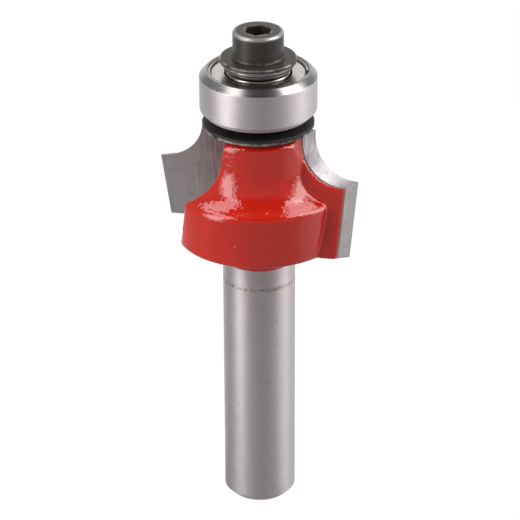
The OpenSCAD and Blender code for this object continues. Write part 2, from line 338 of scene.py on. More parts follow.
def carbide_tip(name, side):
    """One tip with its relief-ground flanks."""
    bm = bmesh.new()
    ground_form(bm, depth_along_y(TIP_T))
    foot_normal = ON_RAKE.to_3x3() @ Vector((0, 0, 1))
    foot = Vector((0, rake_y(EDGE_LOW), EDGE_LOW))
    for point, normal in ((foot, foot_normal), (Vector((TIP_IN, 0, 0)), Vector((1, 0, 0)))):
        cut = bmesh.ops.bisect_plane(bm, geom=bm.verts[:] + bm.edges[:] + bm.faces[:],
                                     plane_co=point, plane_no=normal, clear_inner=True)
        rim = [g for g in cut["geom_cut"] if isinstance(g, bmesh.types.BMEdge)]
        bmesh.ops.holes_fill(bm, edges=rim)
    bmesh.ops.recalc_face_normals(bm, faces=bm.faces[:])
    corners = [e for e in bm.edges if e.is_manifold and e.calc_face_angle(0) > SHARP]
    bmesh.ops.bevel(bm, geom=corners, offset=GROUND_EDGE, offset_type="OFFSET",
                    segments=EDGE_SEGMENTS, profile=0.5, affect="EDGES", material=-1, clamp_overlap=True)
    bmesh.ops.transform(bm, matrix=side, verts=bm.verts[:])
    return piece_from(bm, name, sharp=TIP_SHARP)


tips = {key: carbide_tip("tip_" + key, side) for key, side in SIDES.items()}

# %% [markdown]
# ## The head
#
# The head is turned, then milled: a gullet clears the chips in front of each tip, a seat takes
# the tip, and the thin steel behind a tip is ground to the tip's heel. The same steps are taken
# here, on a blank with finer curves than the solid has. The head ends just below its underside,
# where the red paint stops on the shank.

# %% Turned blank of the head
PAINT_EDGE = 29.65
PAINT_T = 0.06
UNDERSIDE_EDGE = 0.28
TOP_EDGE = 0.4
RIM_EDGE = 0.1


def head_blank():
    """The head before milling, from the paint's edge to the top face."""
    cove_x = NECK_R + LIMITER_COVE_R
    ridge_x = LIMITER_R - RIDGE_R
    ridge_z = SHANK_TOP + LIMITER_H
    both = LIMITER_COVE_R + RIDGE_R
    lean = math.acos((cove_x - ridge_x) / both)
    cove_top = ridge_z + both * math.sin(lean)
    corners = [
        (0, PAINT_EDGE, 0),
        (SHANK_R + PAINT_T, PAINT_EDGE, 0),
        (SHANK_R + PAINT_T, SHANK_TOP, NECK_FILLET),
        (LIMITER_R, SHANK_TOP, UNDERSIDE_EDGE),
        (LIMITER_R, ridge_z + RIDGE_R * math.tan(lean / 2), RIDGE_R),
        (NECK_R, cove_top - LIMITER_COVE_R * math.tan(lean / 2), LIMITER_COVE_R),
        (NECK_R, HEAD_TOP - TOP_CHAMFER, TOP_EDGE),
        (NECK_R - TOP_CHAMFER, HEAD_TOP, RIM_EDGE),
        (0, HEAD_TOP, 0),
    ]
    bm = bmesh.new()
    draw_profile(bm, corners, closed=False)
    turn_on_lathe(bm)
    return piece_from(bm, "head", scale=1)


# %% Steel behind the tips
# How far the backing reaches into the neck, how far the space behind a heel stays inside the
# ground form, and how far it rises above the head
ROOT = 1.0
HEEL_GAP = 1.5 * HEEL_STEP
HEEL_RISE = 2.0


def backing(side):
    """The steel behind a tip, ground in one pass with it."""
    bm = bmesh.new()
    ground_form(bm, GRIND_REACH, step=HEEL_STEP)
    bmesh.ops.transform(bm, matrix=side, verts=bm.verts[:])
    ground = piece_from(bm, "backing", scale=1)
    back = TIP_T + BACKING_T
    inner = NECK_R - ROOT
    slope = (CUT_R - inner) * math.tan(BACKING_SLOPE)
    outline = [(inner, LEAD), (FAR, LEAD), (FAR, -back), (CUT_R, -back), (inner, -back - slope)]
    combine(ground, prism("wedge", outline, -FAR, FAR, side @ ON_RAKE), "INTERSECT")
    above = [(-FAR, -FAR), (FAR, -FAR), (FAR, FAR), (-FAR, FAR)]
    return combine(ground, prism("above", above, SHANK_TOP, SHANK_TOP + FAR), "INTERSECT")


def heel_space(side):
    """The room behind a tip's heel, where the neck would rub on the wood."""
    back = LEAD - GRIND_REACH
    outline = [(TIP_IN, LEAD), (FAR, LEAD), (FAR, back), (TIP_IN, back)]
    space = prism("heel_space", outline, -FAR, FAR, side @ ON_RAKE)
    turn_at = depth_along_y(TIP_T + BACKING_T)
    turned_in = Vector((-(FLANK_FALL - NECK_FALL) * turn_at, 0, -LEDGE_FALL * turn_at))
    for fall, ledge, shift in ((FLANK_FALL, LEDGE_FALL, Vector()), (NECK_FALL, 0, turned_in)):
        bm = bmesh.new()
        start = shift + LEAD * Vector((fall, 1, ledge))
        ground_form(bm, LEAD + GRIND_REACH, fall, ledge, start, HEEL_GAP, HEEL_RISE)
        bmesh.ops.transform(bm, matrix=side, verts=bm.verts[:])
        combine(space, piece_from(bm, "form", scale=1), "DIFFERENCE")
    return space


# %% Gullets and seats
GULLET_STEPS = 16

# The core that a gullet leaves: where it starts, how much wider it is than the shank, its point
CORE_LOW = 20.0
CORE_GAP = 0.2
CORE_POINT = 0.01


def gullet(side):
    """The chip space in front of a tip, with the core left standing."""
    wall = math.tan(GULLET_FLARE)
    fillet_x = GULLET_FLOOR + GULLET_FILLET
    fillet_y = GULLET_W + wall * GULLET_FILLET - GULLET_FILLET / math.cos(GULLET_FLARE)
    outline = [(GULLET_FLOOR, 0), (FAR, 0), (FAR, GULLET_W + wall * (FAR - GULLET_FLOOR))]
    flare = math.degrees(GULLET_FLARE)
    outline += arc_points(fillet_x, fillet_y, GULLET_FILLET, 90 + flare, 180, GULLET_STEPS)
    space = prism("gullet", outline, -2 * FAR, FAR, side @ ON_RAKE)
    core_r = SHANK_R + CORE_GAP
    bm = bmesh.new()
    draw_profile(bm, [
        (0, CORE_LOW, 0),
        (core_r, CORE_LOW, 0),
        (core_r, SHANK_TOP - NECK_FILLET, 0),
        (SPIGOT_R, HEAD_TOP, 0),
        (0, HEAD_TOP + CORE_POINT, 0),
    ], closed=False)
    turn_on_lathe(bm)
    core = piece_from(bm, "core", scale=1)
    return combine(space, core, "DIFFERENCE")


def seat(side):
    """The open pocket that a tip is brazed into."""
    outline = [(TIP_IN, -TIP_T), (FAR, -TIP_T), (FAR, LEAD), (TIP_IN, LEAD)]
    return prism("seat", outline, -FAR, FAR, side @ ON_RAKE)


# %% Milling the head
head = head_blank()
for side in SIDES.values():
    combine(head, heel_space(side), "DIFFERENCE")
    combine(head, backing(side), "UNION")
for side in SIDES.values():
    combine(head, gullet(side), "DIFFERENCE")
    combine(head, seat(side), "DIFFERENCE")
print("milled head", len(head.data.polygons), "faces")

# %% [markdown]
# ## The coat of paint
#
# Sprayed enamel rounds every edge that it covers and fills every inner corner a little. That is
# hard to get with a bevel on a milled shape, where many thin faces meet, but a voxel remesh does
# it by itself: it wraps the shape in an even skin of small squares. A few passes of smoothing
# then round the edges to about the thickness of a thick coat.

# %% Painting the head
COAT_VOXEL = 0.13
COAT_PASSES = 4


def coat(obj):
    """Wraps obj in an even skin, smooths it and brings it to metres."""
    modifier = obj.modifiers.new("coat", "REMESH")
    modifier.mode = "VOXEL"
    modifier.voxel_size = COAT_VOXEL
    mesh = take_result(obj)
    bm = bmesh.new()
    bm.from_mesh(mesh)
    for _ in range(COAT_PASSES):
        bmesh.ops.smooth_vert(bm, verts=bm.verts[:], factor=0.5, use_axis_x=True, use_axis_y=True,
                              use_axis_z=True)
    bmesh.ops.recalc_face_normals(bm, faces=bm.faces[:])
    bmesh.ops.scale(bm, vec=(MM,) * 3, verts=bm.verts[:])
    for face in bm.faces:
        face.smooth = True
    bm.to_mesh(mesh)
    bm.free()
    print(obj.name, len(mesh.polygons), "faces in the coat")
    return obj


coat(head)

# %% [markdown]
# ## Shank and spigot
#
# The shank and the spigot under the bearing are bare ground steel. They are one piece with the
# head, and they reach a little way into it here, so that no gap shows at the paint's edge.

# %% Shank and spigot
JOIN = 0.5
TAPPED_R = 1.5
TAPPED_DEPTH = 1.0

shank = turned_piece("shank", [
    (0, 0, 0),
    (SHANK_R - SHANK_CHAMFER, 0, 0.1),
    (SHANK_R, SHANK_CHAMFER, 0.15),
    (SHANK_R, PAINT_EDGE + JOIN, 0),
    (0, PAINT_EDGE + JOIN, 0),
], closed=False)

spigot = turned_piece("spigot", [
    (0, HEAD_TOP - JOIN, 0),
    (SPIGOT_R, HEAD_TOP - JOIN, 0),
    (SPIGOT_R, SPIGOT_TOP, 0.15),
    (TAPPED_R, SPIGOT_TOP, 0.1),
    (TAPPED_R, SPIGOT_TOP - TAPPED_DEPTH, 0),
    (0, SPIGOT_TOP - TAPPED_DEPTH, 0),
], closed=False)

# %% [markdown]
# ## The guide bearing
#
# The rings are turned, ground and lapped, with small chamfers at every corner. The shields are
# pressed sheet, held by an open ring of wire that springs under a lip. The balls and the cage
# sit behind the shields and keep their CAD solids.

# %% Rings of the bearing
HALF_W = BEARING_TOP - BEARING_MID
BALL_R = 1.19
PITCH_R = 4.365
GROOVE_R = 0.52 * 2 * BALL_R
BALL_GAP = 0.01
GROOVE_STEPS = 10
SEAT_R = 5.5
LIP_W = 0.06
LIP_H = 0.1
OUTER_LAND_R = 5.2
INNER_LAND_R = 3.5
BORE_R = 2.38
RING_CHAMFER = 0.65
SEAT_DEPTH = 0.62


def mirrored(corners):
    """A whole ring's profile from its upper half, whose heights start at the middle."""
    upper = [(r, BEARING_MID + h, f) for r, h, f in reversed(corners)]
    lower = [(r, BEARING_MID - h, f) for r, h, f in corners]
    return upper + lower


def groove(land_r, floor_r):
    """Half of a race groove, from its floor out to the land."""
    side = math.copysign(1, land_r - floor_r)
    centre = floor_r + side * GROOVE_R
    rim = math.degrees(math.acos(abs(centre - land_r) / GROOVE_R))
    angles = [math.radians(rim * i / GROOVE_STEPS) for i in range(1, GROOVE_STEPS + 1)]
    return [(centre - side * GROOVE_R * math.cos(a), GROOVE_R * math.sin(a), 0) for a in angles]


def outer_ring():
    """The guide ring with its race, shield seats and chamfers."""
    upper = groove(OUTER_LAND_R, PITCH_R + BALL_R + BALL_GAP) + [
        (OUTER_LAND_R, HALF_W - SEAT_DEPTH, 0.04),
        (SEAT_R, HALF_W - SEAT_DEPTH, 0.02),
        (SEAT_R, HALF_W - LIP_H, 0),
        (SEAT_R - LIP_W, HALF_W - LIP_H, 0.02),
        (SEAT_R - LIP_W, HALF_W, 0.04),
        (RING_R - RING_CHAMFER, HALF_W, 0.12),
        (RING_R, HALF_W - RING_CHAMFER, 0.15),
    ]
    return turned_piece("outer_ring", mirrored(upper))


def inner_ring():
    """The ring that sits on the spigot, with its race."""
    upper = groove(INNER_LAND_R, PITCH_R - BALL_R - BALL_GAP) + [
        (INNER_LAND_R, HALF_W, 0.3),
        (BORE_R, HALF_W, 0.15),
    ]
    return turned_piece("inner_ring", mirrored(upper))


guide_ring = outer_ring()
inner = inner_ring()

# %% Shields and their clips
SHIELD_T = 0.2
SHIELD_RISE = 0.12
SHIELD_RIM_R = 5.48
SHIELD_BEND_R = 5.0
SHIELD_HOLE_R = 3.64
CLIP_R = 0.18
CLIP_GAP = math.radians(16)
CLIP_SEGMENTS = 16
CLIP_STEPS = 180
CLIP_PLAY = 0.01
CLIP_H = HALF_W - SEAT_DEPTH + SHIELD_T + CLIP_R + CLIP_PLAY


def flip(obj):
    """Mirrors a bearing piece to the other side of the bearing."""
    bm = bmesh.new()
    bm.from_mesh(obj.data)
    from_middle = Matrix.Translation((0, 0, -BEARING_MID * MM))
    bmesh.ops.scale(bm, vec=(1, 1, -1), verts=bm.verts[:], space=from_middle)
    bmesh.ops.reverse_faces(bm, faces=bm.faces[:])
    bm.to_mesh(obj.data)
    bm.free()
    return obj


def shield(name):
    """The pressed sheet that closes the bearing."""
    low = BEARING_MID + HALF_W - SEAT_DEPTH
    flat = low + SHIELD_RISE
    bend = SHIELD_BEND_R + SHIELD_RISE
    return turned_piece(name, [
        (SHIELD_HOLE_R, flat, 0.03),
        (SHIELD_BEND_R, flat, 0.05),
        (bend, low, 0.05),
        (SHIELD_RIM_R, low, 0.03),
        (SHIELD_RIM_R, low + SHIELD_T, 0.03),
        (bend, low + SHIELD_T, 0.05),
        (SHIELD_BEND_R, flat + SHIELD_T, 0.05),
        (SHIELD_HOLE_R, flat + SHIELD_T, 0.05),
    ])


def clip(name):
    """The open wire ring over a shield."""
    bm = bmesh.new()
    placed = (Matrix.Rotation(CLIP_GAP / 2, 4, "Z")
              @ Matrix.Translation((SHIELD_RIM_R - CLIP_R, 0, BEARING_MID + CLIP_H))
              @ Matrix.Rotation(math.pi / 2, 4, "X"))
    bmesh.ops.create_circle(bm, cap_ends=True, segments=CLIP_SEGMENTS, radius=CLIP_R, matrix=placed)
    wire = bm.verts[:] + bm.edges[:] + bm.faces[:]
    bmesh.ops.spin(bm, geom=wire, cent=(0, 0, 0), axis=(0, 0, 1), angle=FULL_TURN - CLIP_GAP,
                   steps=CLIP_STEPS, use_merge=False)
    bmesh.ops.recalc_face_normals(bm, faces=bm.faces[:])
    return piece_from(bm, name)


shields = [shield("shield_top"), flip(shield("shield_under"))]
clips = [clip("clip_top"), flip(clip("clip_under"))]

# %% [markdown]
# ## Washers and screw
#
# The washers and the screw are blackened steel. A real edge is never sharp: the black wears off
# there first, and that bright line is what tells the eye how small the piece is. So every outer
# corner gets its rounding in the profile.

# %% Dust washer and spacer
DUST_WASHER_R = 6.05
SPACER_R = 3.4
SOFT_EDGE = 0.05

dust_washer = turned_piece("dust_washer_ring", [
    (WASHER_BORE_R, HEAD_TOP, SOFT_EDGE),
    (DUST_WASHER_R, HEAD_TOP, 0.15),
    (DUST_WASHER_R, DUST_WASHER_TOP, 0.15),
    (WASHER_BORE_R, DUST_WASHER_TOP, SOFT_EDGE),
])

spacer = turned_piece("spacer_ring", [
    (WASHER_BORE_R, DUST_WASHER_TOP, SOFT_EDGE),
    (SPACER_R, DUST_WASHER_TOP, SOFT_EDGE),
    (SPACER_R, BEARING_LOW, SOFT_EDGE),
    (WASHER_BORE_R, BEARING_LOW, SOFT_EDGE),
])

# %% [markdown]
# The top washer is turned in three steps: a foot that stands on the inner ring, a step over the
# hole of the shield, and a flange under the screw head. A narrow groove parts the last two.

# %% Top washer
TOP_WASHER_BORE_R = 1.6
FOOT_R = 3.3
STEP_R = 3.78
GROOVE_FLOOR_R = 3.62
FLANGE_R = 4.15
STEP_LOW = BEARING_TOP + 0.34
STEP_HIGH = BEARING_TOP + 0.86
GROOVE_Z = BEARING_TOP + 0.92
FLANGE_LOW = BEARING_TOP + 0.94

top_washer = turned_piece("stepped_washer", [
    (TOP_WASHER_BORE_R, BEARING_TOP, 0.03),
    (FOOT_R, BEARING_TOP, 0.08),
    (FOOT_R, STEP_LOW, 0.05),
    (STEP_R, STEP_LOW, 0.14),
    (STEP_R, STEP_HIGH, 0.16),
    (GROOVE_FLOOR_R, GROOVE_Z, 0.04),
    (FLANGE_R, FLANGE_LOW, 0.16),
    (FLANGE_R, SCREW_SEAT, 0.2),
    (TOP_WASHER_BORE_R, SCREW_SEAT, 0.03),
])


# %% [markdown]
# A Boolean leaves loose doubles and no sharp marks, so a cut piece goes back through bmesh:
# doubles are merged, the normals turned outward and the sharp edges marked again.

# %% Cleaning a cut piece
CUT_DOUBLES = 1e-4


def clean(obj):
    """Merges doubles, marks sharp edges, and brings obj to metres."""
    bm = bmesh.new()
    bm.from_mesh(obj.data)
    bmesh.ops.remove_doubles(bm, verts=bm.verts[:], dist=CUT_DOUBLES)
    bmesh.ops.recalc_face_normals(bm, faces=bm.faces[:])
    bmesh.ops.scale(bm, vec=(MM,) * 3, verts=bm.verts[:])
    shade(bm, SHARP)
    open_edges = sum(not e.is_manifold for e in bm.edges)
    bm.to_mesh(obj.data)
    bm.free()
    print(obj.name, len(obj.data.polygons), "faces,", open_edges, "open edges")
    return obj


# %% Cap screw
THREAD_R = 1.48
THREAD_L = 8.0
THREAD_LEAD = 0.25
SCREW_FOOT_R = 2.9
SCREW_FOOT_H = 0.3
SCREW_HEAD_R = 2.75
SCREW_BEVEL = 0.2
HEX_FLATS = 2.6
HEX_R = HEX_FLATS / 2 / math.cos(math.radians(30))
HEX_DEPTH = 1.5
HEX_LEAD = 0.1
BROACH_RISE = 1.0


def hexagon(name, low, high, low_r, high_r):
    """A six-sided broach with a corner toward +X."""
    bm = bmesh.new()
    placed = Matrix.Translation((0, 0, (low + high) / 2))
    bmesh.ops.create_cone(bm, cap_ends=True, segments=6, radius1=low_r, radius2=high_r,
                          depth=high - low, matrix=placed)
    return piece_from(bm, name, scale=1)


def cap_screw():
    """The screw, with its hexagon socket broached after turning."""
    screw = turned_piece("screw", [
        (0, SCREW_SEAT - THREAD_L, 0),
        (THREAD_R - THREAD_LEAD, SCREW_SEAT - THREAD_L, 0),
        (THREAD_R, SCREW_SEAT - THREAD_L + THREAD_LEAD, 0),
        (THREAD_R, SCREW_SEAT, 0),
        (SCREW_FOOT_R, SCREW_SEAT, 0.06),
        (SCREW_HEAD_R, SCREW_SEAT + SCREW_FOOT_H, 0.2),
        (SCREW_HEAD_R, SCREW_TOP - SCREW_BEVEL, 0.2),
        (SCREW_HEAD_R - SCREW_BEVEL, SCREW_TOP, 0.2),
        (0, SCREW_TOP, 0),
    ], closed=False, scale=1)
    broach = hexagon("broach", SCREW_TOP - HEX_DEPTH, SCREW_TOP + BROACH_RISE, HEX_R, HEX_R)
    combine(screw, broach, "DIFFERENCE")
    lead = hexagon("lead", SCREW_TOP - HEX_LEAD, SCREW_TOP + HEX_LEAD, HEX_R, HEX_R + 2 * HEX_LEAD)
    return clean(combine(screw, lead, "DIFFERENCE"))


screw = cap_screw()

# %% [markdown]
# ## Building materials from nodes
#
# Every finish is made of noise and simple shapes that read the Object coordinates, so it stays
# on its piece when the bearing turns. A few short helpers keep the node code readable: they add
# a node, do a sum, turn a range of values into a mask, lay one colour over another, read the
# place on the piece, and make noise.

# %% Helpers for shader nodes
def put(tree, socket, value):
    """Links a socket from another one, or sets it to a plain value."""
    if isinstance(value, bpy.types.NodeSocket):
        tree.links.new(value, socket)
    else:
        socket.default_value = value


def add(tree, kind, inputs=None, **settings):
    """Adds a shader node with its settings and inputs."""
    made = tree.nodes.new("ShaderNode" + kind)
    for key, value in settings.items():
        setattr(made, key, value)
    for key, value in (inputs or {}).items():
        put(tree, made.inputs[key], value)
    return made


def sums(tree, operation, *values):
    """One Math node."""
    made = add(tree, "Math", operation=operation)
    for socket, value in zip(made.inputs, values):
        put(tree, socket, value)
    return made.outputs[0]


def between(tree, value, low, high, out_low=0.0, out_high=1.0):
    """Maps a value smoothly from one range to another, and stops at the ends."""
    made = add(tree, "MapRange", {"Value": value, "From Min": low, "From Max": high,
                                  "To Min": out_low, "To Max": out_high},
               interpolation_type="SMOOTHSTEP")
    return made.outputs["Result"]


# The Mix node keeps the sockets of all its types, and these are the ones for colours
MIX_FACTOR = 0
MIX_UNDER = 6
MIX_OVER = 7
MIX_RESULT = 2


def tint(tree, mask, under, over):
    """Lays one colour over another by a mask."""
    made = add(tree, "Mix", {MIX_FACTOR: mask}, data_type="RGBA")
    for socket, colour in ((MIX_UNDER, under), (MIX_OVER, over)):
        put(tree, made.inputs[socket], (*colour, 1) if isinstance(colour, tuple) else colour)
    return made.outputs[MIX_RESULT]


def shaded(colour, amount):
    """A colour made darker or lighter by one factor."""
    return tuple(c * amount for c in colour)


def length(tree, a, b):
    """The length of the diagonal of a and b."""
    squares = sums(tree, "ADD", sums(tree, "MULTIPLY", a, a), sums(tree, "MULTIPLY", b, b))
    return sums(tree, "SQRT", squares)


def place(tree):
    """The point on the piece, in millimetres, and its distance from the axis."""
    point = add(tree, "TexCoord").outputs["Object"]
    scaled = add(tree, "VectorMath", {0: point, 1: (1 / MM,) * 3}, operation="MULTIPLY").outputs[0]
    x, y, z = add(tree, "SeparateXYZ", {"Vector": scaled}).outputs
    return scaled, x, y, z, length(tree, x, y)


def noise(tree, vector, waves, detail=2.0, rough=0.5):
    """The value of a noise texture with this many waves per millimetre."""
    made = add(tree, "TexNoise", {"Vector": vector, "Scale": waves, "Detail": detail, "Roughness": rough})
    return made.outputs["Fac"]


# %% [markdown]
# ## Effects that several finishes share
#
# Turning and grinding leave fine rings round the axis. Handling wears the edges bright, and
# specks of dust and small nicks lie everywhere. Each of these is a node group with named inputs,
# so that one recipe serves every metal with its own strength.

# %% Node groups
def new_group(name, inputs, output):
    """An empty group with number inputs and one number output."""
    group = bpy.data.node_groups.new(name, "ShaderNodeTree")
    for label, default in inputs.items():
        socket = group.interface.new_socket(name=label, in_out="INPUT", socket_type="NodeSocketFloat")
        socket.default_value = default
    group.interface.new_socket(name=output, in_out="OUTPUT", socket_type="NodeSocketFloat")
    start = group.nodes.new("NodeGroupInput")
    end = group.nodes.new("NodeGroupOutput")
    return group, start.outputs, end.inputs[output]


# How much denser the rings are on an end face than on a wall
FACE_LINES = 1.7


def turning_marks():
    """Fine rings round the axis, closer together as Lines grows."""
    group, given, out = new_group("turning marks", {"Lines": 12.0, "Length": 0.3}, "Height")
    _, x, y, z, radius = place(group)
    across = sums(group, "ADD", z, sums(group, "MULTIPLY", radius, FACE_LINES))
    rings = add(group, "CombineXYZ", {
        "X": sums(group, "MULTIPLY", x, given["Length"]),
        "Y": sums(group, "MULTIPLY", y, given["Length"]),
        "Z": sums(group, "MULTIPLY", across, given["Lines"]),
    }).outputs[0]
    put(group, out, noise(group, rings, waves=1.0, detail=3.0, rough=0.6))
    return group


def specks():
    """Small round spots. Amount is the share of cells that hold one."""
    group, given, out = new_group("specks", {"Size": 0.3, "Amount": 0.1}, "Mask")
    point = place(group)[0]
    density = sums(group, "DIVIDE", 1.0, given["Size"])
    cells = add(group, "TexVoronoi", {"Vector": point, "Scale": density})
    chance = add(group, "SeparateColor", {"Color": cells.outputs["Color"]}).outputs[0]
    chosen = sums(group, "LESS_THAN", chance, given["Amount"])
    spot = between(group, cells.outputs["Distance"], 0.3, 0.12)
    put(group, out, sums(group, "MULTIPLY", chosen, spot))
    return group


def worn_rim():
    """Wear along a round edge, broken up by noise. All sizes are in millimetres."""
    inputs = {"Radius": 4.0, "Height": 0.0, "Width": 0.2, "Cover": 0.5}
    group, given, out = new_group("worn rim", inputs, "Mask")
    point, _, _, z, radius = place(group)
    away = sums(group, "SUBTRACT", radius, given["Radius"])
    above = sums(group, "SUBTRACT", z, given["Height"])
    gap = length(group, away, above)
    near = between(group, sums(group, "DIVIDE", gap, given["Width"]), 1.0, 0.2)
    patchy = noise(group, point, waves=0.7, detail=3.0, rough=0.6)
    level = sums(group, "MULTIPLY", sums(group, "SUBTRACT", 1.0, given["Cover"]), 0.9)
    worn = between(group, sums(group, "SUBTRACT", patchy, level), -0.1, 0.18)
    put(group, out, sums(group, "MULTIPLY", near, worn))
    return group


GROUPS = {"marks": turning_marks(), "specks": specks(), "rim": worn_rim()}


def use(tree, name, **values):
    """Places a shared effect in a material."""
    made = tree.nodes.new("ShaderNodeGroup")
    made.node_tree = GROUPS[name]
    for key, value in values.items():
        put(tree, made.inputs[key], value)
    return made.outputs[0]


# %% Starting a material
MICRON = 1e-6


def new_material(name, **constants):
    """A material with its Principled shader. Constants are set on the shader's own sockets."""
    material = bpy.data.materials.new(name)
    material.use_nodes = True
    tree = material.node_tree
    shader = tree.nodes["Principled BSDF"]
    for key, value in constants.items():
        shader.inputs[key.replace("_", " ")].default_value = value
    return material, tree, shader.inputs


def relief(tree, height, microns):
    """A bump whose depth is given in microns."""
    return add(tree, "Bump", {"Height": height, "Strength": 1.0, "Distance": microns * MICRON}).outputs[0]


# %% [markdown]
# ## Red enamel
#
# The head is sprayed with a thick red enamel. Its shine comes from a clear top layer, which is
# the coat of the Principled shader, and its surface has the fine ripple that painters call
# orange peel. The ripple is what breaks up the edges of the highlights.

# %% Red enamel
RED = (0.52, 0.012, 0.003)
RED_DEEP = (0.48, 0.011, 0.003)
PALE_DUST = (0.85, 0.35, 0.3)
PEEL_WAVES = 2.0
FINE_WAVES = 4.6
FINE_SHARE = 0.7
PEEL_MICRONS = 19


def red_enamel():
    """Thick sprayed enamel with orange peel and specks of dust."""
    material, tree, to = new_material("red_enamel", Roughness=0.4, Specular_IOR_Level=0.0,
                                      Coat_Weight=1.0, Coat_Roughness=0.01, Coat_IOR=1.6)
    point = place(tree)[0]
    cloud = between(tree, noise(tree, point, waves=0.25), 0.35, 0.65)
    colour = tint(tree, cloud, RED, RED_DEEP)
    dust = sums(tree, "MULTIPLY", use(tree, "specks", Size=0.55, Amount=0.012), 0.4)
    put(tree, to["Base Color"], tint(tree, dust, colour, PALE_DUST))
    peel = noise(tree, point, PEEL_WAVES, detail=0.0)
    fine = noise(tree, point, FINE_WAVES, detail=0.5)
    height = sums(tree, "ADD", peel, sums(tree, "MULTIPLY", fine, FINE_SHARE))
    ripple = relief(tree, height, PEEL_MICRONS)
    put(tree, to["Normal"], ripple)
    put(tree, to["Coat Normal"], ripple)
    return material


# %% [markdown]
# ## Ground steel
#
# The shank and the guide ring are ground on a cylindrical grinder. The wheel leaves fine rings,
# and such a surface smears every reflection along the axis. The anisotropy of the Principled
# shader does the smearing. A Tangent node round Z tells it which way the rings run, and a
# quarter turn of the rotation makes the smear run across them. A thin brown stain runs round the
# shank, a little below the paint.

# %% Ground and turned steel
STEEL = (0.575, 0.535, 0.545)
GRIME = (0.12, 0.10, 0.09)
STAIN = (0.16, 0.12, 0.06)
ACROSS_THE_RINGS = 0.25


def ground_steel(name, rough, anisotropy, stain_z=None):
    """Steel ground round the axis, with specks of grime and a thin stain at stain_z."""
    material, tree, to = new_material(name, Metallic=1.0, Anisotropic=anisotropy,
                                      Anisotropic_Rotation=ACROSS_THE_RINGS)
    point, _, _, z, _ = place(tree)
    marks = use(tree, "marks", Lines=9.0, Length=0.25)
    tone = tint(tree, between(tree, marks, 0.25, 0.75), STEEL, shaded(STEEL, 0.9))
    grime = sums(tree, "MULTIPLY", use(tree, "specks", Size=0.6, Amount=0.02), 0.45)
    tone = tint(tree, grime, tone, GRIME)
    if stain_z:
        dots = between(tree, noise(tree, point, waves=3.5, detail=3.0, rough=0.7), 0.42, 0.62)
        gap = sums(tree, "ABSOLUTE", sums(tree, "SUBTRACT", z, stain_z))
        line = sums(tree, "MULTIPLY", between(tree, gap, 0.32, 0.05), dots)
        tone = tint(tree, sums(tree, "MULTIPLY", line, 0.75), tone, STAIN)
    mottle = between(tree, noise(tree, point, waves=2.2, detail=6.0, rough=0.75), 0.55, 0.75)
    tone = tint(tree, sums(tree, "MULTIPLY", mottle, 0.35), tone, shaded(STEEL, 0.6))
    put(tree, to["Base Color"], tone)
    patches = noise(tree, point, waves=0.6)
    put(tree, to["Roughness"], between(tree, patches, 0.3, 0.7, rough - 0.03, rough + 0.05))
    put(tree, to["Normal"], relief(tree, marks, 0.25))
    put(tree, to["Tangent"], add(tree, "Tangent", direction_type="RADIAL", axis="Z").outputs[0])
    return material


def turned_steel(name, colour, rough, lines=14.0):
    """Bright steel without a strong grain, such as chamfers, shields and balls."""
    material, tree, to = new_material(name, Metallic=1.0)
    point = place(tree)[0]
    marks = use(tree, "marks", Lines=lines, Length=0.2)
    cloud = between(tree, noise(tree, point, waves=1.2, detail=4.0), 0.35, 0.7)
    put(tree, to["Base Color"], tint(tree, cloud, colour, shaded(colour, 0.9)))
    put(tree, to["Roughness"], between(tree, marks, 0.2, 0.8, rough - 0.03, rough + 0.06))
    put(tree, to["Normal"], relief(tree, marks, 0.35))
    return material


# %% [markdown]
# ## Carbide
#
# Carbide is a grey, dense metal. The tips are ground with a diamond wheel, which leaves straight
# fine lines. On the rake faces the lines run up and down, and towards the body the grey turns
# darker in streaks.

# %% Carbide
CARBIDE = (0.49, 0.455, 0.455)
CARBIDE_LINE = (0.41, 0.378, 0.38)
# A darker grey laid in streaks over the carbide towards the body, and the radii where it starts and where
# it is full
INWARD_DARK = (0.17, 0.15, 0.155)
INWARD_DARK_FROM = 8.2
INWARD_DARK_FULL = 5.6
BLOTCH = (0.30, 0.28, 0.27)


def carbide_finish():
    """Diamond-ground carbide with fine straight lines, darker in streaks towards the body."""
    material, tree, to = new_material("ground_carbide", Metallic=1.0)
    point, x, y, z, radius = place(tree)
    lines = add(tree, "CombineXYZ", {
        "X": sums(tree, "MULTIPLY", x, 4.5),
        "Y": sums(tree, "MULTIPLY", y, 0.6),
        "Z": sums(tree, "MULTIPLY", z, 0.12),
    }).outputs[0]
    streaks = noise(tree, lines, waves=1.0, detail=4.0, rough=0.65)
    tone = tint(tree, between(tree, streaks, 0.3, 0.75), CARBIDE, CARBIDE_LINE)
    # Towards the body the grey turns darker in streaks
    inner = between(tree, radius, INWARD_DARK_FROM, INWARD_DARK_FULL)
    dark = between(tree, noise(tree, lines, waves=1.7, detail=3.0), 0.38, 0.62)
    inward_dark = sums(tree, "MULTIPLY", inner, dark)
    tone = tint(tree, sums(tree, "MULTIPLY", inward_dark, 0.55), tone, INWARD_DARK)
    blotch = between(tree, noise(tree, point, waves=0.9), 0.5, 0.72)
    tone = tint(tree, sums(tree, "MULTIPLY", blotch, 0.3), tone, BLOTCH)
    put(tree, to["Base Color"], tone)
    patches = noise(tree, point, waves=1.1, detail=3.0)
    put(tree, to["Roughness"], between(tree, patches, 0.3, 0.7, 0.45, 0.54))
    put(tree, to["Normal"], relief(tree, streaks, 1.0))
    return material


# %% [markdown]
# ## Black oxide
#
# The washers and the screw are blackened in a hot salt bath. The black layer is thin: it wears
# off along the edges, where the key and the fingers touch it, and a little rust creeps in at the
# foot of the screw head.

# %% Black oxide
BLACK = (0.023, 0.019, 0.016)
BARE = (0.38, 0.36, 0.35)
RUST = (0.11, 0.055, 0.03)


